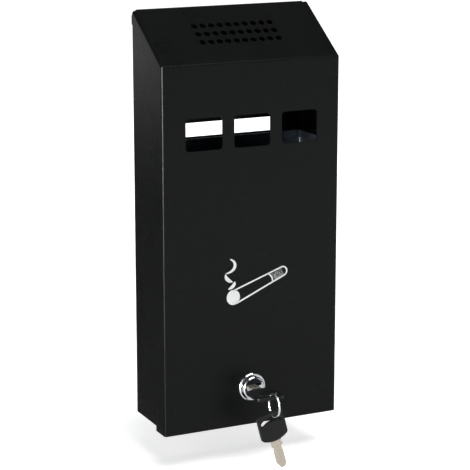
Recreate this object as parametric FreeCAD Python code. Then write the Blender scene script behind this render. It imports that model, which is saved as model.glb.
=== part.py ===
import FreeCAD, Part
import math
import os

# Wall ashtray bin, millimetres. +X right, +Y into the wall, +Z up.
# Heights are counted from the bottom edge of the cover, and every piece is lowered at export
# so that the origin is the centre of the wall fixing holes on the wall plane.

# Overall sizes
WIDTH = 152.0
DEPTH = 60.5
HEIGHT = 329.6
FRONT_HEIGHT = 292.4

# Sheets and bends
COVER_SHEET = 1.0
HOUSING_SHEET = 1.0
BIN_SHEET = 0.8
BEND_RADIUS = 2.0

# Cover
SIDE_FLANGE = 17.4
SLOPE_FLANGE = 10.5
BOTTOM_FLANGE = 10.0
SIDE_GAP = 0.4
COVER_GAP = 0.8
PLATE_END = 1.5
FLANGE_SETBACK = 3.0

# Butt openings in the front panel
OPENING_WIDTH = 31.0
OPENING_HEIGHT = 25.4
OPENING_PITCH = 41.0
OPENING_BOTTOM = 225.9
OPENING_CORNER = 3.0
OPENINGS = 3

# Vent holes in the sloped top
VENT_RADIUS = 2.65
VENT_PITCH = 7.25
VENT_ROW_PITCH = 9.45
VENT_FIRST_ROW = 24.8
VENT_COLUMNS = 10
VENT_ROWS = 3

# Rear housing
HOUSING_BOTTOM = 3.0
SLOT_WIDTH = 103.0
SLOT_HEIGHT = 11.3
SLOT_BOTTOM = 225.7
FIXING_RADIUS = 2.75
FIXING_PITCH_X = 100.0
FIXING_PITCH_Z = 250.0
FIXING_HEIGHT = 165.0

# Hinge
PIN_RADIUS = 1.25
PIN_CLEARANCE = 0.05
LEAF = 0.8
LEAF_WIDTH = 13.0
LEAF_SETBACK = 3.0
BACK_STEP = 0.3
KNUCKLES = 7
KNUCKLE_GAP = 0.35
HINGE_END_GAP = 1.6

# Inner bin and its shelf
SHELF_TOP = 50.0
SHELF_FRONT_GAP = 9.5
SHELF_FOLD = 6.0
BIN_TOP = 224.5
BIN_SIDE_GAP = 1.2
BIN_BACK_GAP = 1.0
BIN_FRONT_GAP = 1.6
BIN_HEM = 6.0
FINGER_HOLE_WIDTH = 34.0
FINGER_HOLE_HEIGHT = 18.0
FINGER_HOLE_DROP = 14.0

# Cam lock
LOCK_HEIGHT = 31.2
LOCK_LENGTH = 16.0
FLANGE_RADIUS = 11.5
FLANGE_THICK = 1.8
COLLAR_RADIUS = 9.2
COLLAR_HEIGHT = 4.6
LOCK_CHAMFER = 0.8
THREAD_RADIUS = 9.4
THREAD_FLATS = 16.4
HOLE_CLEARANCE = 0.1
PLUG_RADIUS = 6.2
PLUG_HEAD_RADIUS = 7.4
PLUG_HEAD = 1.3
PLUG_RECESS = 0.2
PLUG_CLEARANCE = 0.05
SQUARE = 7.0
WASHER_RADIUS = 12.0
WASHER = 0.8
NUT_FLATS = 22.0
NUT_THICK = 4.0
STOP_RADIUS = 8.0
STOP_LUG = 2.0
CAM_THICK = 1.5
CAM_REACH = 23.2
CAM_WIDTH = 13.0
CAM_CORNER = 3.0
DISC_MARGIN = 1.5
SCREW_RADIUS = 2.0
SCREW_HEAD_RADIUS = 4.0
SCREW_HEAD = 2.4
SCREW_DEPTH = 3.0
SCREW_END_GAP = 0.5
SCREW_CROSS = 1.0
SCREW_CROSS_SHARE = 0.65
KEEPER_WIDTH = 20.0
KEEPER_SHEET = 1.2
KEEPER_FOOT = 18.0
KEEPER_OVERLAP = 7.0
KEEPER_GAP = 0.7
RIVET_RADIUS = 1.6
RIVET_HEAD_RADIUS = 3.0
RIVET_TAIL_RADIUS = 2.5
RIVET_HEAD = 0.8
RIVET_PITCH = 11.0

# Wafers
WAFERS = 5
WAFER = 1.0
WAFER_SLOT = 1.1
WAFER_PITCH = 2.6
WAFER_WIDTH = 9.8
WAFER_HEIGHT = 6.0
WAFER_START = 3.5

# Keys
KEY_THICK = 2.1
KEY_WIDTH = 7.6
KEY_INSERT = 18.4
SHOULDER_WIDTH = 9.0
SHOULDER = 5.6
KEYWAY_CLEARANCE = 0.2
GROOVE_WIDTH = 1.2
GROOVE_DEPTH = 0.45
GROOVE_LEAD = 2.0
TANG = 9.0
TANG_STEP = 1.0
SHOULDER_STEP = 0.6
BLADE_EASE = 0.9
BLADE_TAPER = 5.0
POINT_LEFT_SHARE = 0.3
POINT_RIGHT_SHARE = 0.6
POINT_SLANT = 3.0
NOTCH_DEPTH = 1.2
NOTCH_FAR = 2.6
NOTCH_NEAR = 5.0
NOTCH_SLANT = 0.5
HEAD_WIDTH = 23.0
HEAD_SIDE = 20.5
HEAD_BULGE = 3.5
HEAD_THICK = 2.6
HEAD_CORNER = 2.5
BAR = 3.0
SLOT_GAP = 3.9
SLOT_ARC = 14.0
SLOT_HALF_ANGLE = 31.0
RING_RADIUS = 9.2
RING_WIRE = 0.8
RING_OUTSET = 2.5
RING_DROP = 6.0
RING_X = 1.2
SPARE_TILT = 15.0
SPARE_GRIP_ANGLE = 14.0
SPARE_GRIP_GAP = 0.3

# Worked out places
HALF = WIDTH / 2.0
HOUSING_HALF = HALF - COVER_SHEET - SIDE_GAP
INNER_HALF = HOUSING_HALF - HOUSING_SHEET
COVER_INNER_Y = -DEPTH + COVER_SHEET
HOUSING_FRONT = COVER_INNER_Y + COVER_GAP
FLOOR = HOUSING_BOTTOM + HOUSING_SHEET
KNUCKLE_RADIUS = PIN_RADIUS + PIN_CLEARANCE + LEAF
HINGE_Y = -(HOUSING_SHEET + KNUCKLE_RADIUS)
HINGE_Z = HEIGHT - KNUCKLE_RADIUS
HINGE_HALF = INNER_HALF - HINGE_END_GAP
SLOPE_OFFSET = KNUCKLE_RADIUS + COVER_SHEET
RUN = DEPTH + HINGE_Y
RISE = HINGE_Z - FRONT_HEIGHT
SLOPE = math.atan2(RISE, RUN) + math.asin(SLOPE_OFFSET / math.hypot(RUN, RISE))
SLOPE_LENGTH = math.sqrt(RUN ** 2 + RISE ** 2 - SLOPE_OFFSET ** 2)
BODY_REAR = -DEPTH + LOCK_LENGTH
PLUG_FACE = -DEPTH - COLLAR_HEIGHT + PLUG_RECESS
PLUG_REAR = BODY_REAR + HOLE_CLEARANCE
STOP_REAR = PLUG_REAR + WASHER
CAM_REAR = STOP_REAR + CAM_THICK
SPRING_REAR = CAM_REAR + WASHER
KEY_HEAD_END = PLUG_FACE - SHOULDER - KEYWAY_CLEARANCE
HEAD_LENGTH = HEAD_SIDE + HEAD_BULGE
FAR = 400.0
OVER = 1.0
TINY = 1e-6


def vec(x, y, z):
    return FreeCAD.Vector(x, y, z)


def box(x0, x1, y0, y1, z0, z1):
    return Part.makeBox(x1 - x0, y1 - y0, z1 - z0, vec(x0, y0, z0))


def prism_x(outline, x0, x1):
    """Extrude an outline of (y, z) points from x0 to x1."""
    points = [vec(x0, y, z) for y, z in outline]
    points.append(points[0])
    return Part.Face(Part.makePolygon(points)).extrude(vec(x1 - x0, 0, 0))


def rod_y(x, z, radius, y0, y1):
    return Part.makeCylinder(radius, y1 - y0, vec(x, y0, z), vec(0, 1, 0))


def rod_x(y, z, radius, x0, x1):
    return Part.makeCylinder(radius, x1 - x0, vec(x0, y, z), vec(1, 0, 0))


def rod_z(x, y, radius, z0, z1):
    return Part.makeCylinder(radius, z1 - z0, vec(x, y, z0), vec(0, 0, 1))


def fuse(shapes):
    return shapes[0].multiFuse(shapes[1:]).removeSplitter() if len(shapes) > 1 else shapes[0]


def group(shapes):
    return Part.makeCompound(shapes)


def on_slope(s, p):
    """(y, z) of a point s up the slope and p out from the hinge axis."""
    y = HINGE_Y + s * math.cos(SLOPE) - p * math.sin(SLOPE)
    z = HINGE_Z + s * math.sin(SLOPE) + p * math.cos(SLOPE)
    return (y, z)


def slope_strip(s0, s1, p0, p1, x0, x1):
    outline = [on_slope(s0, p0), on_slope(s1, p0), on_slope(s1, p1), on_slope(s0, p1)]
    return prism_x(outline, x0, x1)


def z_on_slope(y, p):
    """Height of the line parallel to the slope at distance p, where it crosses y."""
    y0, z0 = on_slope(0, p)
    return z0 + (y - y0) * math.tan(SLOPE)


def y_on_slope(z, p):
    y0, z0 = on_slope(0, p)
    return y0 + (z - z0) / math.tan(SLOPE)


def edges_where(shape, test):
    return [edge for edge in shape.Edges if test(edge)]


def straight_along(edge, direction):
    ends = [vertex.Point for vertex in edge.Vertexes]
    return len(ends) == 2 and (ends[1] - ends[0]).cross(direction).Length < TINY


def is_ring(edge, radius, y):
    """True for a full circle of that radius at that y."""
    return abs(edge.Length - 2 * math.pi * radius) < 1000 * TINY and abs(edge.CenterOfMass.y - y) < TINY


def rounded_window(x, z, width, height, corner, y0, y1):
    """Rectangular cutter with round corners, running along Y."""
    shape = box(x - width / 2, x + width / 2, y0, y1, z, z + height)
    return shape.makeFillet(corner, edges_where(shape, lambda e: straight_along(e, vec(0, 1, 0))))


def cover_block(inset, radius):
    """Solid inside of the folded cover, inset by a sheet thickness, with round bends."""
    half = HALF - inset
    front = -DEPTH + inset
    top = SLOPE_OFFSET - inset
    back = FAR / 10
    outline = [(front, inset), (front, z_on_slope(front, top)),
               (back, z_on_slope(back, top)), (back, inset)]
    block = prism_x(outline, -half, half)

    def is_bend(edge):
        centre = edge.CenterOfMass
        at_side = abs(abs(centre.x) - half) < TINY
        at_front = abs(centre.y - front) < TINY
        upright = at_side and at_front and straight_along(edge, vec(0, 0, 1))
        down_slope = straight_along(edge, vec(0, math.cos(SLOPE), math.sin(SLOPE)))
        sloped = at_side and centre.z > FRONT_HEIGHT and down_slope
        across = at_front and straight_along(edge, vec(1, 0, 0)) and centre.z > FRONT_HEIGHT / 2
        return upright or sloped or across

    return block.makeFillet(radius, edges_where(block, is_bend))


def vent_cutters():
    cutters = []
    outward = vec(0, -math.sin(SLOPE), math.cos(SLOPE))
    for row in range(VENT_ROWS):
        s = VENT_FIRST_ROW + row * VENT_ROW_PITCH - SLOPE_LENGTH
        y, z = on_slope(s, 0)
        for column in range(VENT_COLUMNS):
            x = (column - (VENT_COLUMNS - 1) / 2.0) * VENT_PITCH
            cutters.append(Part.makeCylinder(VENT_RADIUS, 3 * SLOPE_OFFSET, vec(x, y, z), outward))
    return cutters


def lock_hole(clearance, y0, y1):
    """Round cutter with an upper and a lower flat, for the lock body."""
    shape = rod_y(0, LOCK_HEIGHT, THREAD_RADIUS + clearance, y0, y1)
    flats = THREAD_FLATS / 2 + clearance
    return shape.common(box(-FAR, FAR, y0, y1, LOCK_HEIGHT - flats, LOCK_HEIGHT + flats))


def front_cover():
    shell = cover_block(0.0, BEND_RADIUS).cut(cover_block(COVER_SHEET, BEND_RADIUS - COVER_SHEET))
    inner_side = HALF - COVER_SHEET
    front_strip = box(-FAR, FAR, -DEPTH - OVER, -DEPTH + SIDE_FLANGE, -OVER, FAR)
    slope_part = slope_strip(-FAR, -PLATE_END, SLOPE_OFFSET - SLOPE_FLANGE, SLOPE_OFFSET + OVER, -FAR, FAR)
    slope_part = slope_part.common(box(-FAR, FAR, -FAR, -FLANGE_SETBACK, -FAR, FAR))
    keep = fuse([front_strip, slope_part])
    cover = shell.common(keep)
    cutters = [box(-inner_side, inner_side, -DEPTH + BOTTOM_FLANGE, 0, -OVER, COVER_SHEET + OVER)]
    for index in range(OPENINGS):
        x = (index - (OPENINGS - 1) / 2.0) * OPENING_PITCH
        cutters.append(rounded_window(x, OPENING_BOTTOM, OPENING_WIDTH, OPENING_HEIGHT, OPENING_CORNER,
                                      -DEPTH - OVER, COVER_INNER_Y + OVER))
    cutters.append(lock_hole(HOLE_CLEARANCE, -DEPTH - OVER, COVER_INNER_Y + OVER))
    cutters.extend(vent_cutters())
    return cover.cut(group(cutters))


def rear_housing():
    side_top = KNUCKLE_RADIUS - COVER_GAP
    cap = HINGE_Z - COVER_GAP
    outline = [(0, HOUSING_BOTTOM), (HOUSING_FRONT, HOUSING_BOTTOM),
               (HOUSING_FRONT, z_on_slope(HOUSING_FRONT, side_top)),
               (y_on_slope(cap, side_top), cap), (0, cap)]
    block = prism_x(outline, -HOUSING_HALF, HOUSING_HALF)
    upright = edges_where(block, lambda e: straight_along(e, vec(0, 0, 1)) and abs(e.CenterOfMass.y) < TINY)
    block = block.makeFillet(BEND_RADIUS - COVER_SHEET / 2, upright)
    hollow = box(-INNER_HALF, INNER_HALF, -FAR, -HOUSING_SHEET, FLOOR, FAR)
    above_back = box(-INNER_HALF, INNER_HALF, -FAR, FAR, HINGE_Z - LEAF_SETBACK + BACK_STEP, FAR)
    cutters = [hollow, above_back]
    cutters.append(rounded_window(0, SLOT_BOTTOM, SLOT_WIDTH, SLOT_HEIGHT, OPENING_CORNER,
                                  -HOUSING_SHEET - OVER, OVER))
    for x in (-FIXING_PITCH_X / 2, FIXING_PITCH_X / 2):
        for z in (FIXING_HEIGHT - FIXING_PITCH_Z / 2, FIXING_HEIGHT + FIXING_PITCH_Z / 2):
            cutters.append(rod_y(x, z, FIXING_RADIUS, -HOUSING_SHEET - OVER, OVER))
    for x in (-RIVET_PITCH / 2, RIVET_PITCH / 2):
        cutters.append(rod_z(x, rivet_y(), RIVET_RADIUS, HOUSING_BOTTOM - OVER, FLOOR + OVER))
    return block.cut(group(cutters))


def knuckle_spans(own):
    """X ranges of every other knuckle: own = 0 for the housing's, 1 for the cover's."""
    length = 2 * HINGE_HALF / KNUCKLES
    spans = []
    for index in range(own, KNUCKLES, 2):
        start = -HINGE_HALF + index * length
        spans.append((start + KNUCKLE_GAP / 2, start + length - KNUCKLE_GAP / 2))
    return spans


def pin_bore():
    return rod_x(HINGE_Y, HINGE_Z, PIN_RADIUS + PIN_CLEARANCE, -FAR, FAR)


def front_hinge_leaf():
    low = KNUCKLE_RADIUS - LEAF
    parts = [slope_strip(-LEAF_WIDTH, -LEAF_SETBACK, low, KNUCKLE_RADIUS, -HINGE_HALF, HINGE_HALF)]
    for x0, x1 in knuckle_spans(1):
        parts.append(slope_strip(-LEAF_SETBACK, 0, low, KNUCKLE_RADIUS, x0, x1))
        parts.append(rod_x(HINGE_Y, HINGE_Z, KNUCKLE_RADIUS, x0, x1))
    return fuse(parts).cut(pin_bore())


def rear_hinge_leaf():
    back = -HOUSING_SHEET
    parts = [box(-HINGE_HALF, HINGE_HALF, back - LEAF, back, HINGE_Z - LEAF_WIDTH, HINGE_Z - LEAF_SETBACK)]
    for x0, x1 in knuckle_spans(0):
        parts.append(box(x0, x1, back - LEAF, back, HINGE_Z - LEAF_SETBACK, HINGE_Z))
        parts.append(rod_x(HINGE_Y, HINGE_Z, KNUCKLE_RADIUS, x0, x1))
    return fuse(parts).cut(pin_bore())


def hinge_pin():
    reach = HINGE_HALF + HINGE_END_GAP / 2
    return rod_x(HINGE_Y, HINGE_Z, PIN_RADIUS, -reach, reach)


def container_shelf():
    front = HOUSING_FRONT + SHELF_FRONT_GAP
    bottom = SHELF_TOP - HOUSING_SHEET - SHELF_FOLD
    block = box(-INNER_HALF, INNER_HALF, front, -HOUSING_SHEET, bottom, SHELF_TOP)
    hollow = box(-INNER_HALF + HOUSING_SHEET, INNER_HALF - HOUSING_SHEET, front + HOUSING_SHEET, FAR,
                 -FAR, SHELF_TOP - HOUSING_SHEET)
    return block.cut(hollow)


def butt_container():
    half = INNER_HALF - BIN_SIDE_GAP
    back = -HOUSING_SHEET - BIN_BACK_GAP
    front = COVER_INNER_Y + BIN_FRONT_GAP
    block = box(-half, half, front, back, SHELF_TOP, BIN_TOP)
    block = block.makeFillet(BEND_RADIUS, edges_where(block, lambda e: straight_along(e, vec(0, 0, 1))))
    inner = box(-half + BIN_SHEET, half - BIN_SHEET, front + BIN_SHEET, back - BIN_SHEET,
                SHELF_TOP + BIN_SHEET, BIN_TOP - BIN_HEM)
    hem = 2 * BIN_SHEET
    mouth = box(-half + hem, half - hem, front + hem, back - hem, BIN_TOP - BIN_HEM - OVER, BIN_TOP + OVER)
    upright = edges_where(inner, lambda e: straight_along(e, vec(0, 0, 1)))
    inner = inner.makeFillet(BEND_RADIUS - BIN_SHEET, upright)
    hole_z = BIN_TOP - FINGER_HOLE_DROP - FINGER_HOLE_HEIGHT
    hole = rounded_window(0, hole_z, FINGER_HOLE_WIDTH, FINGER_HOLE_HEIGHT,
                          FINGER_HOLE_HEIGHT / 2 - HOLE_CLEARANCE, front - OVER, front + hem + OVER)
    return block.cut(fuse([inner, mouth])).cut(hole)


def keeper_front():
    return STOP_REAR - KEEPER_GAP - KEEPER_SHEET


def rivet_y():
    return keeper_front() + KEEPER_SHEET + (KEEPER_FOOT - KEEPER_SHEET) / 2


def lock_keeper():
    front = keeper_front()
    half = KEEPER_WIDTH / 2
    top = LOCK_HEIGHT - CAM_REACH + KEEPER_OVERLAP
    foot = box(-half, half, front, front + KEEPER_FOOT, FLOOR, FLOOR + KEEPER_SHEET)
    tab = box(-half, half, front, front + KEEPER_SHEET, FLOOR, top)
    holes = [rod_z(x, rivet_y(), RIVET_RADIUS, FLOOR - OVER, FLOOR + KEEPER_SHEET + OVER)
             for x in (-RIVET_PITCH / 2, RIVET_PITCH / 2)]
    return fuse([foot, tab]).cut(group(holes))


def keeper_rivets():
    top = FLOOR + KEEPER_SHEET
    rivets = []
    for x in (-RIVET_PITCH / 2, RIVET_PITCH / 2):
        shank = rod_z(x, rivet_y(), RIVET_RADIUS, HOUSING_BOTTOM, top)
        head = rod_z(x, rivet_y(), RIVET_HEAD_RADIUS, HOUSING_BOTTOM - RIVET_HEAD, HOUSING_BOTTOM)
        tail = rod_z(x, rivet_y(), RIVET_TAIL_RADIUS, top, top + RIVET_HEAD)
        rivets.append(fuse([shank, head, tail]))
    return group(rivets)


def lock_body():
    flange = rod_y(0, LOCK_HEIGHT, FLANGE_RADIUS, -DEPTH - FLANGE_THICK, -DEPTH)
    collar = rod_y(0, LOCK_HEIGHT, COLLAR_RADIUS, -DEPTH - COLLAR_HEIGHT, -DEPTH - FLANGE_THICK)
    thread = lock_hole(0.0, -DEPTH, BODY_REAR)
    body = fuse([flange, collar, thread])
    rims = edges_where(body, lambda e: is_ring(e, FLANGE_RADIUS, -DEPTH - FLANGE_THICK)
                       or is_ring(e, COLLAR_RADIUS, -DEPTH - COLLAR_HEIGHT))
    body = body.makeChamfer(LOCK_CHAMFER, rims)
    outer = -DEPTH - COLLAR_HEIGHT - OVER
    bore = rod_y(0, LOCK_HEIGHT, PLUG_RADIUS + PLUG_CLEARANCE, outer, BODY_REAR + OVER)
    seat = rod_y(0, LOCK_HEIGHT, PLUG_HEAD_RADIUS + PLUG_CLEARANCE, outer,
                 PLUG_FACE + PLUG_HEAD + PLUG_CLEARANCE)
    return body.cut(fuse([bore, seat]))


def lock_washer():
    washer = rod_y(0, LOCK_HEIGHT, WASHER_RADIUS, COVER_INNER_Y, COVER_INNER_Y + WASHER)
    return washer.cut(rod_y(0, LOCK_HEIGHT, THREAD_RADIUS + HOLE_CLEARANCE, -DEPTH, 0))


def lock_nut():
    y0 = COVER_INNER_Y + WASHER
    corner = NUT_FLATS / 2 / math.cos(math.pi / 6)
    points = [vec(corner * math.cos(k * math.pi / 3), y0, LOCK_HEIGHT + corner * math.sin(k * math.pi / 3))
              for k in range(7)]
    nut = Part.Face(Part.makePolygon(points)).extrude(vec(0, NUT_THICK, 0))
    return nut.cut(rod_y(0, LOCK_HEIGHT, THREAD_RADIUS + HOLE_CLEARANCE, -DEPTH, 0))


def square_bar(clearance, y0, y1):
    half = SQUARE / 2 + clearance
    return box(-half, half, y0, y1, LOCK_HEIGHT - half, LOCK_HEIGHT + half)


def wafer_y(index):
    return PLUG_FACE + WAFER_START + index * WAFER_PITCH


def keyway():
    half_width = KEY_WIDTH / 2 + KEYWAY_CLEARANCE
    half_height = KEY_THICK / 2 + KEYWAY_CLEARANCE
    return box(-half_width, half_width, PLUG_FACE - OVER, PLUG_FACE + KEY_INSERT + OVER,
               LOCK_HEIGHT - half_height, LOCK_HEIGHT + half_height)


def wafer_block(index, thickness, spare):
    y = wafer_y(index)
    half = WAFER_WIDTH / 2 + spare
    low = LOCK_HEIGHT - WAFER_HEIGHT / 2
    return box(-half, half, y, y + thickness, low, low + WAFER_HEIGHT + spare)


def lock_plug():
    head = rod_y(0, LOCK_HEIGHT, PLUG_HEAD_RADIUS, PLUG_FACE, PLUG_FACE + PLUG_HEAD)
    barrel = rod_y(0, LOCK_HEIGHT, PLUG_RADIUS, PLUG_FACE, PLUG_REAR)
    stub = square_bar(0.0, PLUG_REAR, CAM_REAR - HOLE_CLEARANCE)
    plug = fuse([head, barrel, stub])
    cutters = [keyway(), rod_y(0, LOCK_HEIGHT, SCREW_RADIUS, SPRING_REAR - SCREW_DEPTH - SCREW_END_GAP, FAR)]
    cutters.extend(wafer_block(index, WAFER_SLOT, HOLE_CLEARANCE) for index in range(WAFERS))
    for cutter in cutters:
        plug = plug.cut(cutter)
    return plug


def lock_wafers():
    return group([wafer_block(index, WAFER, 0.0).cut(keyway()) for index in range(WAFERS)])


def stop_washer():
    disc = rod_y(0, LOCK_HEIGHT, STOP_RADIUS, PLUG_REAR, STOP_REAR)
    lug = box(-STOP_LUG, STOP_LUG, PLUG_REAR, STOP_REAR, LOCK_HEIGHT, LOCK_HEIGHT + STOP_RADIUS + STOP_LUG)
    return fuse([disc, lug]).cut(square_bar(PLUG_CLEARANCE, PLUG_REAR - OVER, STOP_REAR + OVER))


def lock_cam():
    half = CAM_WIDTH / 2
    disc = rod_y(0, LOCK_HEIGHT, half + DISC_MARGIN, STOP_REAR, CAM_REAR)
    arm = box(0, CAM_REACH, STOP_REAR, CAM_REAR, LOCK_HEIGHT - half, LOCK_HEIGHT + half)
    arm = arm.makeFillet(CAM_CORNER, edges_where(
        arm, lambda e: straight_along(e, vec(0, 1, 0)) and abs(e.CenterOfMass.x - CAM_REACH) < TINY))
    return fuse([disc, arm]).cut(square_bar(PLUG_CLEARANCE, STOP_REAR - OVER, CAM_REAR + OVER))


def spring_washer():
    washer = rod_y(0, LOCK_HEIGHT, SQUARE / 2 + DISC_MARGIN, CAM_REAR, SPRING_REAR)
    hole = rod_y(0, LOCK_HEIGHT, SCREW_RADIUS + HOLE_CLEARANCE, CAM_REAR - OVER, SPRING_REAR + OVER)
    return washer.cut(hole)


def cam_screw():
    shank = rod_y(0, LOCK_HEIGHT, SCREW_RADIUS, SPRING_REAR - SCREW_DEPTH, SPRING_REAR)
    head = rod_y(0, LOCK_HEIGHT, SCREW_HEAD_RADIUS, SPRING_REAR, SPRING_REAR + SCREW_HEAD)
    screw = fuse([shank, head])
    y0 = SPRING_REAR + SCREW_HEAD / 2
    half = SCREW_HEAD_RADIUS * SCREW_CROSS_SHARE
    thin = SCREW_CROSS / 2
    bars = [box(-half, half, y0, y0 + SCREW_HEAD, LOCK_HEIGHT - thin, LOCK_HEIGHT + thin),
            box(-thin, thin, y0, y0 + SCREW_HEAD, LOCK_HEIGHT - half, LOCK_HEIGHT + half)]
    return screw.cut(fuse(bars))


def flat_outline(points, thickness):
    """Extrude a closed (x, y) outline symmetrically about z = 0."""
    corners = [vec(x, y, -thickness / 2) for x, y in points]
    corners.append(corners[0])
    return Part.Face(Part.makePolygon(corners)).extrude(vec(0, 0, thickness))


def key_blade():
    """Key blade along +Y from the head's root at y = 0, flat in XY, with its tang at negative y."""
    half = SHOULDER_WIDTH / 2
    narrow = KEY_WIDTH / 2
    end = SHOULDER + KEY_INSERT
    notch = half - NOTCH_DEPTH
    tang = half - TANG_STEP
    step = SHOULDER - SHOULDER_STEP
    outline = [(-tang, -TANG), (-tang, 0), (-half, 0), (-half, step), (BLADE_EASE - narrow, SHOULDER),
               (-narrow, SHOULDER + BLADE_TAPER), (-narrow, end - BLADE_TAPER),
               (-narrow * POINT_LEFT_SHARE, end), (narrow * POINT_RIGHT_SHARE, end),
               (narrow, end - POINT_SLANT), (narrow, SHOULDER + BLADE_TAPER), (narrow - BLADE_EASE, SHOULDER),
               (half, step), (half, SHOULDER - NOTCH_FAR), (notch, SHOULDER - NOTCH_FAR - NOTCH_SLANT),
               (notch, SHOULDER - NOTCH_NEAR + NOTCH_SLANT), (half, SHOULDER - NOTCH_NEAR),
               (half, 0), (tang, 0), (tang, -TANG)]
    blade = flat_outline(outline, KEY_THICK)
    grooves = []
    for side in (-1, 1):
        z = side * KEY_THICK / 2
        low = min(z, z - side * GROOVE_DEPTH)
        grooves.append(box(0, GROOVE_WIDTH, SHOULDER - GROOVE_LEAD, end + OVER, low, low + GROOVE_DEPTH))
    return blade.cut(group(grooves))


def arc_slot():
    """Curved slot near the outer end of a key head, bulging towards that end."""
    centre = vec(0, -HEAD_LENGTH + BAR + SLOT_GAP / 2 + SLOT_ARC, -HEAD_THICK)
    outer = SLOT_ARC + SLOT_GAP / 2
    inner = SLOT_ARC - SLOT_GAP / 2
    spread = 2 * SLOT_HALF_ANGLE
    sector = Part.makeCylinder(outer, 2 * HEAD_THICK, centre, vec(0, 0, 1), spread)
    sector.rotate(centre, vec(0, 0, 1), -90 - SLOT_HALF_ANGLE)
    slot = sector.cut(Part.makeCylinder(inner, 2 * HEAD_THICK, centre, vec(0, 0, 1)))
    ends = []
    for side in (-1, 1):
        turn = math.radians(side * SLOT_HALF_ANGLE)
        at = centre + vec(SLOT_ARC * math.sin(turn), -SLOT_ARC * math.cos(turn), 0)
        ends.append(Part.makeCylinder(SLOT_GAP / 2, 2 * HEAD_THICK, at, vec(0, 0, 1)))
    return fuse([slot] + ends)


def key_head():
    """Moulded head from y = -HEAD_LENGTH at its outer end to y = 0, with a pocket for the tang."""
    half = HEAD_WIDTH / 2
    z = -HEAD_THICK / 2
    side_end = -HEAD_LENGTH + HEAD_SIDE
    line_a = Part.LineSegment(vec(-half, side_end, z), vec(-half, -HEAD_LENGTH, z)).toShape()
    line_b = Part.LineSegment(vec(-half, -HEAD_LENGTH, z), vec(half, -HEAD_LENGTH, z)).toShape()
    line_c = Part.LineSegment(vec(half, -HEAD_LENGTH, z), vec(half, side_end, z)).toShape()
    arc = Part.Arc(vec(half, side_end, z), vec(0, 0, z), vec(-half, side_end, z)).toShape()
    head = Part.Face(Part.Wire([line_a, line_b, line_c, arc])).extrude(vec(0, 0, HEAD_THICK))
    head = head.makeFillet(HEAD_CORNER, edges_where(head, lambda e: straight_along(e, vec(0, 0, 1))))
    return head.cut(arc_slot()).cut(key_blade())


def in_lock(shape):
    placed = shape.copy()
    placed.translate(vec(0, KEY_HEAD_END, LOCK_HEIGHT))
    return placed


def ring_centre():
    return vec(RING_X, KEY_HEAD_END - HEAD_LENGTH - RING_OUTSET, LOCK_HEIGHT + HEAD_THICK / 2 - RING_DROP)


def key_ring():
    return Part.makeTorus(RING_RADIUS, RING_WIRE, ring_centre(), vec(1, 0, 0))


def spare(shape):
    """Hang a key by one end of its slot from the bottom of the ring, tilted in the XZ plane."""
    placed = shape.copy()
    turn = math.radians(SPARE_GRIP_ANGLE)
    # The wire lies against the outer wall of the curved slot, SPARE_GRIP_ANGLE round from its middle.
    reach = SLOT_ARC + SLOT_GAP / 2 - RING_WIRE - SPARE_GRIP_GAP
    middle = -HEAD_LENGTH + BAR + SLOT_GAP / 2 + SLOT_ARC
    grip = vec(reach * math.sin(turn), middle - reach * math.cos(turn), 0)
    placed.translate(vec(-grip.x, -grip.y, 0))
    placed.rotate(vec(0, 0, 0), vec(1, 0, 0), -90)
    placed.rotate(vec(0, 0, 0), vec(0, 1, 0), -SPARE_TILT)
    centre = ring_centre()
    placed.translate(vec(centre.x, centre.y, centre.z - RING_RADIUS))
    return placed


NODES = {
    "rear_housing": rear_housing,
    "front_cover": front_cover,
    "front_hinge_leaf": front_hinge_leaf,
    "rear_hinge_leaf": rear_hinge_leaf,
    "hinge_pin": hinge_pin,
    "container_shelf": container_shelf,
    "butt_container": butt_container,
    "lock_keeper": lock_keeper,
    "keeper_rivets": keeper_rivets,
    "lock_body": lock_body,
    "lock_washer": lock_washer,
    "lock_nut": lock_nut,
    "lock_plug": lock_plug,
    "lock_wafers": lock_wafers,
    "stop_washer": stop_washer,
    "lock_cam": lock_cam,
    "spring_washer": spring_washer,
    "cam_screw": cam_screw,
    "key_blade": lambda: in_lock(key_blade()),
    "key_head": lambda: in_lock(key_head()),
    "key_ring": key_ring,
    "spare_key_blade": lambda: spare(key_blade()),
    "spare_key_head": lambda: spare(key_head()),
}

os.makedirs("parts", exist_ok=True)
for name, build in NODES.items():
    shape = build()
    shape.translate(vec(0, 0, -FIXING_HEIGHT))
    shape.exportStep(os.path.join("parts", name + ".step"))
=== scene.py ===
import math

import bmesh
import bpy
import numpy as np
from mathutils import Matrix, Vector


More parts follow.
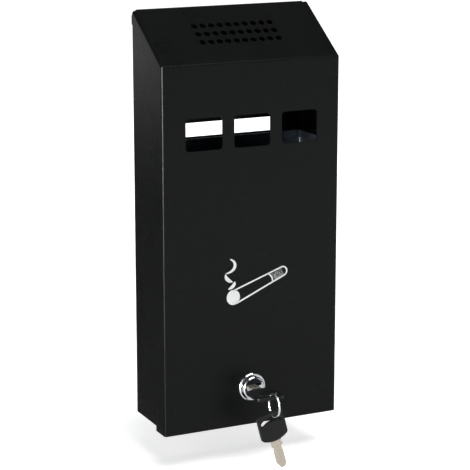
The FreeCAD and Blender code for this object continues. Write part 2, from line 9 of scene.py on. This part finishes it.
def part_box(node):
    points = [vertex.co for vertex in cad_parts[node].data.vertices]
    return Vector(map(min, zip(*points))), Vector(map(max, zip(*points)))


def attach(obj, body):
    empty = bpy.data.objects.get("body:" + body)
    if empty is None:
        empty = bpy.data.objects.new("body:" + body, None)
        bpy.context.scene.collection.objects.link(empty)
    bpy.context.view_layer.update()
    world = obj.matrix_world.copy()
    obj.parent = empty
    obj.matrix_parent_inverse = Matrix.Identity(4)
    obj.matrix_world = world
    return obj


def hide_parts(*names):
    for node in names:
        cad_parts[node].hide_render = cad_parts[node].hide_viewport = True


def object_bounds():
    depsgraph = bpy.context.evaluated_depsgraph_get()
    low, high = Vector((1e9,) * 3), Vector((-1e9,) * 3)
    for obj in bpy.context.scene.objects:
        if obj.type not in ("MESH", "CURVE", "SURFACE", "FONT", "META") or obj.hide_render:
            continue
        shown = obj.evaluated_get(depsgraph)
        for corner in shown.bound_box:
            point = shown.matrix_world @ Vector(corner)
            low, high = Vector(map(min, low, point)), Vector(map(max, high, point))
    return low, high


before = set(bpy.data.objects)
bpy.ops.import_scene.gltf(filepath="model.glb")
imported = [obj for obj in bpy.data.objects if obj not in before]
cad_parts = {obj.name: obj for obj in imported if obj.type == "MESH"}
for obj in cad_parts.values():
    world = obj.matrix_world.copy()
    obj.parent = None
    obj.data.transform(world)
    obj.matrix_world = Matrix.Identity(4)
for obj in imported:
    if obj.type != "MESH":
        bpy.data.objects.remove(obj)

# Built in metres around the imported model: +X right, +Y into the wall, +Z up, origin at the centre of the
# wall fixing holes. The symbol is set out from the bottom edge of the cover, and the ring takes its size and
# place from the box of its CAD piece.

bl_info = {
    "name": "Wall Ashtray Bin",
    "version": (1, 0, 0),
    "blender": (4, 5, 0),
    "location": "View3D > Sidebar > Ashtray Bin",
    "description": "Finishes a wall ashtray bin: powder coat, printed symbol, chromed lock, keys and ring",
    "category": "Object",
}

MM = 0.001
CAD_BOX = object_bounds()
COVER_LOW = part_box("front_cover")[0]
FRONT_Y = COVER_LOW[1]
BASE_Z = COVER_LOW[2]
RING_LOW, RING_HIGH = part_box("key_ring")


# ---------------------------------------------------------------- settings

class FinishSettings(bpy.types.PropertyGroup):
    coat_colour: bpy.props.StringProperty(
        name="Coat colour", description="sRGB hex colour of the powder coat", default="#0B0C0C")
    coat_grain: bpy.props.FloatProperty(
        name="Coat grain", description="Size of one bump of the textured coat", default=0.55 * MM,
        unit="LENGTH")
    ink_colour: bpy.props.StringProperty(
        name="Ink colour", description="sRGB hex colour of the printed symbol", default="#CDCECC")
    key_edge: bpy.props.FloatProperty(
        name="Key edge", description="Rounding of the moulded key heads", default=0.55 * MM, unit="LENGTH")


class StageSettings(bpy.types.PropertyGroup):
    floor_gap: bpy.props.FloatProperty(
        name="Floor gap", description="Height of the hanging key above the floor", default=4 * MM,
        unit="LENGTH")
    background: bpy.props.StringProperty(
        name="Background", description="sRGB hex colour of floor and backdrop", default="#FFFFFF")
    floor_glow: bpy.props.FloatProperty(
        name="Floor glow", description="Light given off by the floor itself", default=0.54, min=0.0)
    fill: bpy.props.FloatProperty(
        name="Fill", description="Strength of the light from all around", default=0.12, min=0.0)


# ---------------------------------------------------------------- small tools

# The Mix node has sockets of the same name for every data type, so its colour sockets go by number.
MIX_FACTOR, MIX_DARK, MIX_LIGHT, MIX_RESULT = 0, 6, 7, 2
RGBA = {"data_type": "RGBA"}
NOISE_RANGE = 0.3, 0.7  # most of a noise pattern's values lie between these


def linear(hex_colour):
    """sRGB hex to linear RGBA."""
    values = [int(hex_colour[i:i + 2], 16) / 255 for i in (1, 3, 5)]
    return [v / 12.92 if v <= 0.04045 else ((v + 0.055) / 1.055) ** 2.4 for v in values] + [1.0]


def fill_node(tree, node, inputs=None, links=None):
    """Give a node its socket values, and link its sockets to their sources."""
    for key, value in (inputs or {}).items():
        node.inputs[key].default_value = value
    for key, source in (links or {}).items():
        tree.links.new(source, node.inputs[key])


def add_node(tree, kind, settings=None, inputs=None, links=None):
    """Add one node: settings are its properties, inputs its socket values, links its socket sources."""
    node = tree.nodes.new(kind)
    for key, value in (settings or {}).items():
        setattr(node, key, value)
    fill_node(tree, node, inputs, links)
    return node


def per_metre(size):
    """Scale of a pattern whose one cell is that long."""
    return 1.0 / size


def from_to(start, end, low, high):
    """Socket values that map start..end to low..high."""
    return {"From Min": start, "From Max": end, "To Min": low, "To Max": high}


def between(dark, light):
    """Socket values that blend two hex colours."""
    return {MIX_DARK: linear(dark), MIX_LIGHT: linear(light)}


def new_material(name):
    """An empty material with its shader and an Object coordinate output."""
    material = bpy.data.materials.new(name)
    material.use_nodes = True
    tree = material.node_tree
    shader = tree.nodes["Principled BSDF"]
    place = add_node(tree, "ShaderNodeTexCoord").outputs["Object"]
    return material, tree, shader, place


# ---------------------------------------------------------------- materials

def powder_coat(settings):
    """Polyester powder coat, fine texture: a soft sheen broken by small round bumps, whose tops are a shade
    lighter.
    """
    material, tree, shader, place = new_material("black powder coat")
    grain = add_node(tree, "ShaderNodeTexNoise", None,
                     {"Scale": per_metre(settings.coat_grain), "Detail": 3.0, "Roughness": 0.6},
                     {"Vector": place})
    drift = add_node(tree, "ShaderNodeTexNoise", None,
                     {"Scale": per_metre(60 * MM), "Detail": 4.0, "Roughness": 0.55}, {"Vector": place})
    # The same noise raises the bumps and lightens the colour, so the tops of the bumps are a shade lighter
    fleck = add_node(tree, "ShaderNodeMapRange", None, from_to(0.52, 0.72, 0.0, 1.0),
                     {"Value": grain.outputs["Fac"]})
    colour = add_node(tree, "ShaderNodeMix", RGBA, between(settings.coat_colour, "#141516"),
                      {MIX_FACTOR: fleck.outputs["Result"]})
    sheen = add_node(tree, "ShaderNodeMapRange", None, from_to(*NOISE_RANGE, 0.24, 0.34),
                     {"Value": drift.outputs["Fac"]})
    relief = add_node(tree, "ShaderNodeBump", None, {"Distance": 0.09 * MM, "Strength": 0.8},
                      {"Height": grain.outputs["Fac"]})
    fill_node(tree, shader, {"IOR": 1.5, "Specular IOR Level": 0.07},
              {"Base Color": colour.outputs[MIX_RESULT], "Roughness": sheen.outputs["Result"],
               "Normal": relief.outputs["Normal"]})
    return material


def galvanised_steel():
    """Hot-dip galvanised sheet: grey spangles of about 9 mm with slightly different sheens."""
    material, tree, shader, place = new_material("galvanised steel")
    spangle = add_node(tree, "ShaderNodeTexVoronoi", None, {"Scale": per_metre(9 * MM)}, {"Vector": place})
    scuff = add_node(tree, "ShaderNodeTexNoise", None,
                     {"Scale": per_metre(14 * MM), "Detail": 6.0, "Roughness": 0.7}, {"Vector": place})
    grey = add_node(tree, "ShaderNodeRGBToBW", None, None, {"Color": spangle.outputs["Color"]})
    colour = add_node(tree, "ShaderNodeMix", RGBA, between("#383D42", "#50565B"),
                      {MIX_FACTOR: grey.outputs["Val"]})
    sheen = add_node(tree, "ShaderNodeMapRange", None, from_to(*NOISE_RANGE, 0.28, 0.5),
                     {"Value": scuff.outputs["Fac"]})
    relief = add_node(tree, "ShaderNodeBump", None, {"Distance": 0.02 * MM, "Strength": 0.5},
                      {"Height": scuff.outputs["Fac"]})
    fill_node(tree, shader, {"Metallic": 1.0},
              {"Base Color": colour.outputs[MIX_RESULT], "Roughness": sheen.outputs["Result"],
               "Normal": relief.outputs["Normal"]})
    return material


def plated_metal(name, dark, light, low, high, streak):
    """Plated or turned metal: faint streaks across Y, from machining, under a clear sheen.

    Its roughness lies between low and high, and one streak is as long as streak.
    """
    material, tree, shader, place = new_material(name)
    turned = add_node(tree, "ShaderNodeMapping", None, {"Scale": (1.0, 6.0, 1.0)}, {"Vector": place})
    grain = add_node(tree, "ShaderNodeTexNoise", None,
                     {"Scale": per_metre(streak), "Detail": 5.0, "Roughness": 0.6},
                     {"Vector": turned.outputs["Vector"]})
    colour = add_node(tree, "ShaderNodeMix", RGBA, between(dark, light), {MIX_FACTOR: grain.outputs["Fac"]})
    sheen = add_node(tree, "ShaderNodeMapRange", None, from_to(*NOISE_RANGE, low, high),
                     {"Value": grain.outputs["Fac"]})
    relief = add_node(tree, "ShaderNodeBump", None, {"Distance": 0.01 * MM, "Strength": 0.3},
                      {"Height": grain.outputs["Fac"]})
    fill_node(tree, shader, {"Metallic": 1.0},
              {"Base Color": colour.outputs[MIX_RESULT], "Roughness": sheen.outputs["Result"],
               "Normal": relief.outputs["Normal"]})
    return material


def moulded_plastic():
    """Glass-filled nylon, spark-eroded mould finish: matt black with a fine even grain."""
    material, tree, shader, place = new_material("moulded black plastic")
    grain = add_node(tree, "ShaderNodeTexVoronoi", None, {"Scale": per_metre(0.4 * MM)}, {"Vector": place})
    rub = add_node(tree, "ShaderNodeTexNoise", None, {"Scale": per_metre(7 * MM), "Detail": 4.0},
                   {"Vector": place})
    colour = add_node(tree, "ShaderNodeMix", RGBA, between("#0A0B0B", "#121313"),
                      {MIX_FACTOR: rub.outputs["Fac"]})
    sheen = add_node(tree, "ShaderNodeMapRange", None, from_to(*NOISE_RANGE, 0.34, 0.50),
                     {"Value": rub.outputs["Fac"]})
    relief = add_node(tree, "ShaderNodeBump", None, {"Distance": 0.03 * MM, "Strength": 0.5},
                      {"Height": grain.outputs["Distance"]})
    fill_node(tree, shader, {"Specular IOR Level": 0.14},
              {"Base Color": colour.outputs[MIX_RESULT], "Roughness": sheen.outputs["Result"],
               "Normal": relief.outputs["Normal"]})
    return material


def printing_ink(name, grain_size, thin, full, dark, light):
    """Screen-printing ink: matt, with a grain that blends from dark to light between thin and full.

    A wide step gives ink that is a little thin over the coat's bumps. A narrow step breaks it into specks.
    """
    material, tree, shader, place = new_material(name)
    grain = add_node(tree, "ShaderNodeTexNoise", None,
                     {"Scale": per_metre(grain_size), "Detail": 2.0, "Roughness": 0.6}, {"Vector": place})
    cover = add_node(tree, "ShaderNodeMapRange", None, from_to(thin, full, 0.0, 1.0),
                     {"Value": grain.outputs["Fac"]})
    colour = add_node(tree, "ShaderNodeMix", RGBA, between(dark, light),
                      {MIX_FACTOR: cover.outputs["Result"]})
    sheen = add_node(tree, "ShaderNodeMapRange", None, from_to(0.0, 1.0, 0.5, 0.7),
                     {"Value": grain.outputs["Fac"]})
    relief = add_node(tree, "ShaderNodeBump", None, {"Distance": 0.04 * MM, "Strength": 0.6},
                      {"Height": grain.outputs["Fac"]})
    fill_node(tree, shader, None,
              {"Base Color": colour.outputs[MIX_RESULT], "Roughness": sheen.outputs["Result"],
               "Normal": relief.outputs["Normal"]})
    return material


def set_material(node, material):
    """Swap the material of a CAD piece, which keeps its shape and place."""
    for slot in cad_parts[node].material_slots:
        slot.material = material


# ---------------------------------------------------------------- surfaces

def place_mesh(name, mesh):
    """A new object at the origin, unturned, that shows the mesh."""
    thing = bpy.data.objects.new(name, mesh)
    bpy.context.scene.collection.objects.link(thing)
    return thing


def flat_sheet(name, low, high, level, material):
    """A level rectangle between two opposite (x, y) corners."""
    mesh = bpy.data.meshes.new(name)
    around = (low[0], low[1]), (high[0], low[1]), (high[0], high[1]), (low[0], high[1])
    corners = [(x, y, level) for x, y in around]
    mesh.from_pydata(corners, [], [[0, 1, 2, 3]])
    mesh.materials.append(material)
    return place_mesh(name, mesh)


def closed_surface(name, points, material, smooth):
    """A tube of rows x columns points, closed at both ends, with its normals turned outwards.

    The faces are the quads between neighbouring points and one many-sided face over each end.
    """
    rows, columns = points.shape[:2]
    faces = grid_faces(rows, columns).tolist()
    faces.append(list(range(columns))[::-1])
    faces.append([(rows - 1) * columns + k for k in range(columns)])
    mesh = bpy.data.meshes.new(name)
    mesh.from_pydata(points.reshape(-1, 3).tolist(), [], faces)
    work = bmesh.new()
    work.from_mesh(mesh)
    bmesh.ops.recalc_face_normals(work, faces=work.faces)
    work.to_mesh(mesh)
    work.free()
    mesh.polygons.foreach_set("use_smooth", np.full(len(mesh.polygons), smooth))
    mesh.materials.append(material)
    return place_mesh(name, mesh)


def grid_faces(rows, columns):
    """Quads of a rows x columns grid whose columns close on themselves."""
    r, c = np.meshgrid(np.arange(rows - 1), np.arange(columns), indexing="ij")
    r, c = r.ravel(), c.ravel()
    after = (c + 1) % columns
    start, end = r * columns, (r + 1) * columns
    return np.stack([start + c, start + after, end + after, end + c], 1)


def smooth_line(points, count):
    """Points evenly spread along the curve x(t), z(t) of the polynomial through all the given points."""
    points = np.asarray(points, float)
    t = np.linspace(0, 1, len(points))
    wanted = np.linspace(0, 1, count)
    degree = len(points) - 1
    return np.stack([np.polyval(np.polyfit(t, points[:, k], degree), wanted) for k in (0, 1)], 1)


def ink_plate(name, left, right, lift, thick, material):
    """A thin closed plate between two lines of (x, z) points on the front of the cover.

    Each pair of points gives four corners: both lines at the skin and both lines one ink thickness out.
    """
    skin = FRONT_Y - lift
    face = skin - thick
    corners = [(left, skin), (left, face), (right, face), (right, skin)]
    points = np.zeros((len(left), 4, 3))
    for k, (line, y) in enumerate(corners):
        points[:, k, 0] = line[:, 0]
        points[:, k, 1] = y
        points[:, k, 2] = line[:, 1]
    return closed_surface(name, points, material, False)


def ink_stroke(name, line, widths, material):
    """A stroke of ink: the line's points moved half a width to each side, square to the line."""
    along = np.gradient(line, axis=0)
    along /= np.linalg.norm(along, axis=1, keepdims=True)
    side = np.stack([-along[:, 1], along[:, 0]], 1) * np.asarray(widths)[:, None] / 2
    return ink_plate(name, line + side, line - side, LIFT, INK, material)


# ---------------------------------------------------------------- the printed symbol

INK = 0.06 * MM     # thickness of the ink
LIFT = 0.004 * MM   # gap between ink and coat, so that the two faces never share a plane
LINE = 1.15 * MM    # width of the outline
LOWER_SHARE = 1.12  # the lower line is wider than LINE by this much
BAND_SHARE = 0.9    # the band before the filter is narrower than LINE by this much
STEPS = 40          # points along each line
TIP = 0.015         # share of a stroke's length after which its thin end starts to widen
POLE_GAP = 0.02     # angle left off each tip of the ember, so that its two ends have a face

# (x, z) in millimetres from the middle of the cover's bottom edge
EMBER_CENTRE, EMBER_RADII = (-16.5, 106.9), (5.7, 6.1)
UPPER_START, UPPER_END = (-16.2, 112.4), (25.6, 126.9)
LOWER_START, LOWER_END = (-13.8, 101.8), (28.2, 120.1)
BAND = (14.0, 122.8), (17.0, 119.8), (18.0, 116.0)
FILTER_UPPER = (16.0, 122.5), (25.7, 125.8)
FILTER_LOWER = (19.3, 117.1), (27.9, 121.0)
SMOKE_STROKES = {
    "symbol_smoke_top": ([(-19.3, 138.1), (-15.2, 134.2), (-16.4, 129.6), (-23.0, 126.8)], 2.4 * MM),
    "symbol_smoke_middle": ([(-23.2, 126.4), (-22.4, 123.2), (-20.3, 121.0), (-17.2, 119.6)], 3.0 * MM),
    "symbol_smoke_low": ([(-15.5, 119.6), (-15.8, 117.3), (-17.7, 115.4), (-20.8, 114.0)], 2.8 * MM),
}


def on_cover(points):
    """(x, z) in millimetres from the middle of the cover's bottom edge, to metres in the frame."""
    return np.asarray(points, float) * MM + np.array([0.0, BASE_Z])


def taper(count, widest):
    """Widths of a brush stroke: widest times the square root of the sine, thin at both ends."""
    t = np.linspace(0, 1, count)
    return widest * np.sqrt(np.sin(np.pi * np.clip(t, TIP, 1 - TIP)))


def build_symbol(settings):
    """A lit cigarette pointing down to the left, with three strokes of smoke, all in thin ink plates.

    The ember is an oval between its upper and lower half arcs. The outline runs along the upper line, round
    the half circle of the filter end and back along the lower line.
    """
    ink = printing_ink("white ink", 0.5 * MM, 0.25, 0.5, "#A9ABAA", settings.ink_colour)
    specks = printing_ink("speckled ink", 0.9 * MM, 0.50, 0.60, settings.coat_colour, "#8D8F90")
    pieces = []
    turn = np.linspace(POLE_GAP, math.pi - POLE_GAP, STEPS)
    arc = np.stack([np.cos(turn), np.sin(turn)], 1) * EMBER_RADII
    upper_arc, lower_arc = EMBER_CENTRE + arc, EMBER_CENTRE + arc * [1, -1]
    pieces.append(ink_plate("symbol_ember", on_cover(upper_arc), on_cover(lower_arc), LIFT, INK, ink))
    cap_centre = np.add(UPPER_END, LOWER_END) / 2
    half = np.subtract(UPPER_END, LOWER_END) / 2
    out = np.array([half[1], -half[0]])
    swing = np.linspace(0, math.pi, STEPS)[:, None]
    cap = cap_centre + half * np.cos(swing) + out * np.sin(swing)
    upper = np.linspace(UPPER_START, UPPER_END, STEPS)[:-1]
    lower = np.linspace(LOWER_END, LOWER_START, STEPS)[1:]
    outline = np.concatenate([upper, cap, lower])
    widths = np.full(len(outline), LINE)
    widths[-STEPS:] = LINE * LOWER_SHARE
    pieces.append(ink_stroke("symbol_outline", on_cover(outline), widths, ink))
    band = on_cover(smooth_line(BAND, STEPS))
    pieces.append(ink_stroke("symbol_band", band, np.full(STEPS, LINE * BAND_SHARE), ink))
    filter_upper = on_cover(np.linspace(*FILTER_UPPER, STEPS))
    filter_lower = on_cover(np.linspace(*FILTER_LOWER, STEPS))
    pieces.append(ink_plate("symbol_filter", filter_upper, filter_lower, LIFT / 2, INK / 3, specks))
    for name, (points, widest) in SMOKE_STROKES.items():
        pieces.append(ink_stroke(name, on_cover(smooth_line(points, STEPS)), taper(STEPS, widest), ink))
    for piece in pieces:
        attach(piece, "cover")


# ---------------------------------------------------------------- keys and ring

JOIN_DISTANCE = 0.002 * MM       # points closer than this are one point
FLAT_ANGLE = math.radians(1)     # triangles that meet at less than this are one flat face
EDGE_ANGLE = math.radians(40)    # edges sharper than this are rounded


def rounded_copy(node, name, edge, material):
    """A copy of a CAD piece with its points joined, flat faces merged and edges rounded."""
    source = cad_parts[node]
    mesh = source.data.copy()
    mesh.name = name
    work = bmesh.new()
    work.from_mesh(mesh)
    bmesh.ops.remove_doubles(work, verts=work.verts, dist=JOIN_DISTANCE)
    bmesh.ops.dissolve_limit(work, angle_limit=FLAT_ANGLE, verts=work.verts, edges=work.edges)
    work.to_mesh(mesh)
    work.free()
    mesh.materials.clear()
    mesh.materials.append(material)
    thing = place_mesh(name, mesh)
    bevel = thing.modifiers.new("Edges", "BEVEL")
    bevel.width = edge
    bevel.segments = 3
    bevel.limit_method = "ANGLE"
    bevel.angle_limit = EDGE_ANGLE
    bevel.harden_normals = True
    return thing


WIND_START = 0.9     # angle at which the wire starts, in radians from the wall side
WIND_SHARE = 0.985   # share of two whole turns that the wire covers
STEP_START = 0.46    # share of the wire's length at which it starts to step sideways
STEP_LENGTH = 0.08   # share of the wire's length that the step takes
CORNER_POWER = 0.55  # below 1 this turns the round section into a rounded square
HALF_ACROSS = 0.47   # half of the section along X, as a share of one wire thickness
HALF_OUT = 0.80      # half of the section outwards, as a share of one wire thickness


def split_ring(name, material):
    """Split ring: flat spring wire wound twice round.

    The middle of the wire is a circle in YZ walked twice. It moves sideways by one wire thickness along a
    smooth step, 3 s squared less 2 s cubed, in the middle of its length. The section is the cosine and sine
    of an angle, each raised to a power below 1, which makes a rounded square.
    """
    low, high = np.array(RING_LOW), np.array(RING_HIGH)
    centre = (low + high) / 2
    wire = (high[0] - low[0]) / 2
    radius = (high[1] - low[1]) / 2 - wire
    steps, around = 220, 20
    t = np.linspace(0, 1, steps)
    angle = WIND_START + t * 4 * math.pi * WIND_SHARE
    step = np.clip((t - STEP_START) / STEP_LENGTH, 0, 1)
    offset = (step * step * (3 - 2 * step) - 0.5) * wire
    turn = np.linspace(0, 2 * math.pi, around, endpoint=False)
    section = np.stack([np.cos(turn), np.sin(turn)])
    section = np.sign(section) * np.abs(section) ** CORNER_POWER
    across = section[0] * wire * HALF_ACROSS
    out = section[1] * wire * HALF_OUT
    reach = radius + out[None, :]
    points = np.zeros((steps, around, 3))
    points[:, :, 0] = centre[0] + offset[:, None] + across[None, :]
    points[:, :, 1] = centre[1] + np.cos(angle)[:, None] * reach
    points[:, :, 2] = centre[2] + np.sin(angle)[:, None] * reach
    return closed_surface(name, points, material, True)


# ---------------------------------------------------------------- operators

class FinishSheetMetal(bpy.types.Operator):
    """Give the cover, housing, shelf, hinge and inner bin their finishes"""
    bl_idname = "ashtray.finish_sheet_metal"
    bl_label = "Finish sheet metal"

    def execute(self, context):
        coat = powder_coat(context.scene.ashtray_finish)
        for node in ("front_cover", "rear_housing", "front_hinge_leaf", "rear_hinge_leaf", "container_shelf"):
            set_material(node, coat)
        set_material("butt_container", galvanised_steel())
        return {"FINISHED"}


class FinishLock(bpy.types.Operator):
    """Give the lock, its fasteners and the hinge pin their plated finishes"""
    bl_idname = "ashtray.finish_lock"
    bl_label = "Finish lock"

    def execute(self, context):
        # Chrome is mirror bright, zinc dull silver, brass warm yellow, spring steel a soft grey.
        chrome = plated_metal("chrome plate", "#9A9DA1", "#B6B8BB", 0.05, 0.12, 5 * MM)
        zinc = plated_metal("zinc plate", "#A9ACB0", "#C2C4C4", 0.24, 0.36, 3 * MM)
        brass = plated_metal("stamped brass", "#B08A45", "#C9A35B", 0.25, 0.4, 2 * MM)
        spring = plated_metal("spring steel", "#9A9C9E", "#B8BABB", 0.2, 0.3, 2 * MM)
        set_material("lock_body", chrome)
        set_material("lock_plug", chrome)
        set_material("lock_wafers", brass)
        set_material("spring_washer", spring)
        for node in ("hinge_pin", "lock_keeper", "keeper_rivets", "lock_washer", "lock_nut", "stop_washer",
                     "lock_cam", "cam_screw"):
            set_material(node, zinc)
        return {"FINISHED"}


class PrintSymbol(bpy.types.Operator):
    """Print the smoking symbol on the front of the cover"""
    bl_idname = "ashtray.print_symbol"
    bl_label = "Print symbol"

    def execute(self, context):
        build_symbol(context.scene.ashtray_finish)
        return {"FINISHED"}


class BuildKeys(bpy.types.Operator):
    """Make both keys with rounded moulded heads and blades"""
    bl_idname = "ashtray.build_keys"
    bl_label = "Build keys"

    def execute(self, context):
        plastic = moulded_plastic()
        # Nickel silver is a warm grey, with the soft shine of a milled blank.
        blade = plated_metal("nickel silver", "#948B7E", "#AFA89C", 0.26, 0.4, 1.5 * MM)
        edge = context.scene.ashtray_finish.key_edge
        for node, body in (("key_head", "key"), ("spare_key_head", "spare_key")):
            head = rounded_copy(node, node + "_moulded", edge, plastic)
            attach(head, body)
            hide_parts(node)
        for node, body in (("key_blade", "key"), ("spare_key_blade", "spare_key")):
            piece = rounded_copy(node, node + "_milled", edge / 4, blade)
            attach(piece, body)
            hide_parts(node)
        return {"FINISHED"}


class BuildRing(bpy.types.Operator):
    """Wind the split ring that holds the keys"""
    bl_idname = "ashtray.build_ring"
    bl_label = "Build ring"

    def execute(self, context):
        # Polished steel is bright and a little softer than chrome.
        steel = plated_metal("polished ring steel", "#B4B6B8", "#D0D2D2", 0.12, 0.22, 2 * MM)
        ring = split_ring("split_ring", steel)
        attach(ring, "ring")
        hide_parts("key_ring")
        return {"FINISHED"}


# ---------------------------------------------------------------- stage

# A long lens from far off, a little to the left and above, so that upright edges stay nearly parallel.
CAMERA_PLACE = Vector((-0.606, -1.289, 0.321))
CAMERA_AZIMUTH = math.radians(-25.69)
CAMERA_ELEVATION = math.radians(13.56)
CAMERA_LENS = 137.9
CAMERA_SENSOR = 36.0

FLOOR_HALF = 6.0    # the floor reaches this far each way
FLOOR_MOTTLE = 0.8  # size of its faint lighter and darker patches
CARD_RISE = 2 * MM  # the black card lies this far above the floor
CARD_LOW, CARD_HIGH = (-1.6, -0.06), (-0.085, 1.8)
# Distances from the origin between which the light that the floor gives off rises to white
GLOW_START, GLOW_END = 0.45, 1.1


def flat_black():
    """Black card lying at the back left, which the side of the box mirrors."""
    material, tree, shader, place = new_material("black card")
    fibre = add_node(tree, "ShaderNodeTexNoise", None, {"Scale": per_metre(3 * MM), "Detail": 2.0},
                     {"Vector": place})
    colour = add_node(tree, "ShaderNodeMix", RGBA, between("#1A1A1A", "#242424"),
                      {MIX_FACTOR: fibre.outputs["Fac"]})
    fill_node(tree, shader, {"Roughness": 0.9}, {"Base Color": colour.outputs[MIX_RESULT]})
    return material


def studio_floor(settings):
    """Pale matt paper with faint patches, which gives off light of its own and turns white further out."""
    material, tree, shader, place = new_material("pale studio floor")
    tone = add_node(tree, "ShaderNodeTexNoise", None, {"Scale": per_metre(FLOOR_MOTTLE), "Detail": 2.0},
                    {"Vector": place})
    colour = add_node(tree, "ShaderNodeMix", RGBA, between("#F1F1F1", "#F6F6F6"),
                      {MIX_FACTOR: tone.outputs["Fac"]})
    distance = add_node(tree, "ShaderNodeVectorMath", {"operation": "LENGTH"}, None, {0: place})
    glow = add_node(tree, "ShaderNodeMapRange", None, from_to(GLOW_START, GLOW_END, settings.floor_glow, 1.0),
                    {"Value": distance.outputs["Value"]})
    fill_node(tree, shader, {"Roughness": 0.75, "Emission Color": linear(settings.background)},
              {"Base Color": colour.outputs[MIX_RESULT], "Emission Strength": glow.outputs["Result"]})
    return material


def place_camera():
    """Camera whose back vector has that azimuth from -Y towards +X and that elevation."""
    azimuth, rise = CAMERA_AZIMUTH, CAMERA_ELEVATION
    back = Vector((math.sin(azimuth) * math.cos(rise), -math.cos(azimuth) * math.cos(rise), math.sin(rise)))
    right = Vector((math.cos(azimuth), math.sin(azimuth), 0.0))
    up = back.cross(right)
    data = bpy.data.cameras.new("camera")
    data.lens = CAMERA_LENS
    data.sensor_width = CAMERA_SENSOR
    camera = bpy.data.objects.new("camera", data)
    turn = Matrix((right, up, back)).transposed().to_4x4()
    camera.matrix_world = Matrix.Translation(CAMERA_PLACE) @ turn
    bpy.context.scene.collection.objects.link(camera)
    bpy.context.scene.camera = camera


def soft_box(name, place, aim, width, height, power):
    """A rectangular white area light at a place, turned to its aim."""
    data = bpy.data.lights.new(name, "AREA")
    data.shape = "RECTANGLE"
    data.size = width
    data.size_y = height
    data.energy = power
    light = bpy.data.objects.new(name, data)
    light.location = place
    light.rotation_euler = (Vector(aim) - Vector(place)).to_track_quat("-Z", "Y").to_euler()
    bpy.context.scene.collection.objects.link(light)
    return light


def white_world(settings):
    """White seen straight by the camera, and a dimmer even light for everything else."""
    world = bpy.data.worlds.new("studio")
    bpy.context.scene.world = world
    world.use_nodes = True
    tree = world.node_tree
    tree.nodes.clear()
    seen = add_node(tree, "ShaderNodeBackground", None,
                    {"Color": linear(settings.background), "Strength": 1.0})
    fill = add_node(tree, "ShaderNodeBackground", None,
                    {"Color": linear("#F4F7FF"), "Strength": settings.fill})
    path = add_node(tree, "ShaderNodeLightPath")
    mix = add_node(tree, "ShaderNodeMixShader", None, None,
                   {0: path.outputs["Is Camera Ray"], 1: fill.outputs[0], 2: seen.outputs[0]})
    add_node(tree, "ShaderNodeOutputWorld", None, None, {"Surface": mix.outputs[0]})


class BuildStage(bpy.types.Operator):
    """Add the pale floor, the lights and the camera"""
    bl_idname = "ashtray.build_stage"
    bl_label = "Build stage"

    def execute(self, context):
        settings = context.scene.ashtray_stage
        level = CAD_BOX[0][2] - settings.floor_gap
        floor = flat_sheet("floor", (-FLOOR_HALF, -FLOOR_HALF), (FLOOR_HALF, FLOOR_HALF), level,
                           studio_floor(settings))
        white_world(settings)
        # The strip is seen only as the bright line along the left front bend and in the chrome.
        strip = soft_box("left_strip", place=(-1.5, -0.78, 0.35), aim=(0, 0, 0), width=0.16, height=1.5,
                         power=420)
        strip.visible_diffuse = False
        soft_box("top_box", place=(0.1, -0.9, 1.9), aim=(0, 0, -0.1), width=1.6, height=1.2, power=36)
        soft_box("right_box", place=(1.5, -0.9, 0.5), aim=(0, 0, -0.05), width=0.5, height=1.0, power=8)
        soft_box("back_box", place=(0.4, 1.6, 1.3), aim=(0, 0, -0.1), width=1.6, height=1.0, power=12)
        flag = flat_sheet("flag", CARD_LOW, CARD_HIGH, level + CARD_RISE, flat_black())
        flag.visible_camera = flag.visible_diffuse = flag.visible_shadow = False
        place_camera()
        context.scene.view_settings.view_transform = "Standard"
        return {"FINISHED"}


class AshtrayPanel(bpy.types.Panel):
    """List the settings and the steps"""
    bl_idname = "VIEW3D_PT_ashtray_bin"
    bl_label = "Ashtray Bin"
    bl_space_type = "VIEW_3D"
    bl_region_type = "UI"
    bl_category = "Ashtray Bin"

    def draw(self, context):
        for group in (context.scene.ashtray_finish, context.scene.ashtray_stage):
            for name in group.bl_rna.properties.keys():
                if name not in ("rna_type", "name"):
                    self.layout.prop(group, name)
        for operator in OPERATORS:
            self.layout.operator(operator.bl_idname)


OPERATORS = (BuildStage, FinishSheetMetal, FinishLock, PrintSymbol, BuildKeys, BuildRing)
CLASSES = (FinishSettings, StageSettings) + OPERATORS + (AshtrayPanel,)


def register():
    """Add the classes, and keep both groups of settings on the scene."""
    for item in CLASSES:
        bpy.utils.register_class(item)
    bpy.types.Scene.ashtray_finish = bpy.props.PointerProperty(type=FinishSettings)
    bpy.types.Scene.ashtray_stage = bpy.props.PointerProperty(type=StageSettings)


def unregister():
    """Take away what register added."""
    del bpy.types.Scene.ashtray_finish
    del bpy.types.Scene.ashtray_stage
    for item in reversed(CLASSES):
        bpy.utils.unregister_class(item)


def main():
    """Run the steps in order."""
    register()
    bpy.ops.ashtray.build_stage()
    bpy.ops.ashtray.finish_sheet_metal()
    bpy.ops.ashtray.finish_lock()
    bpy.ops.ashtray.print_symbol()
    bpy.ops.ashtray.build_keys()
    bpy.ops.ashtray.build_ring()


if __name__ == "__main__":
    main()
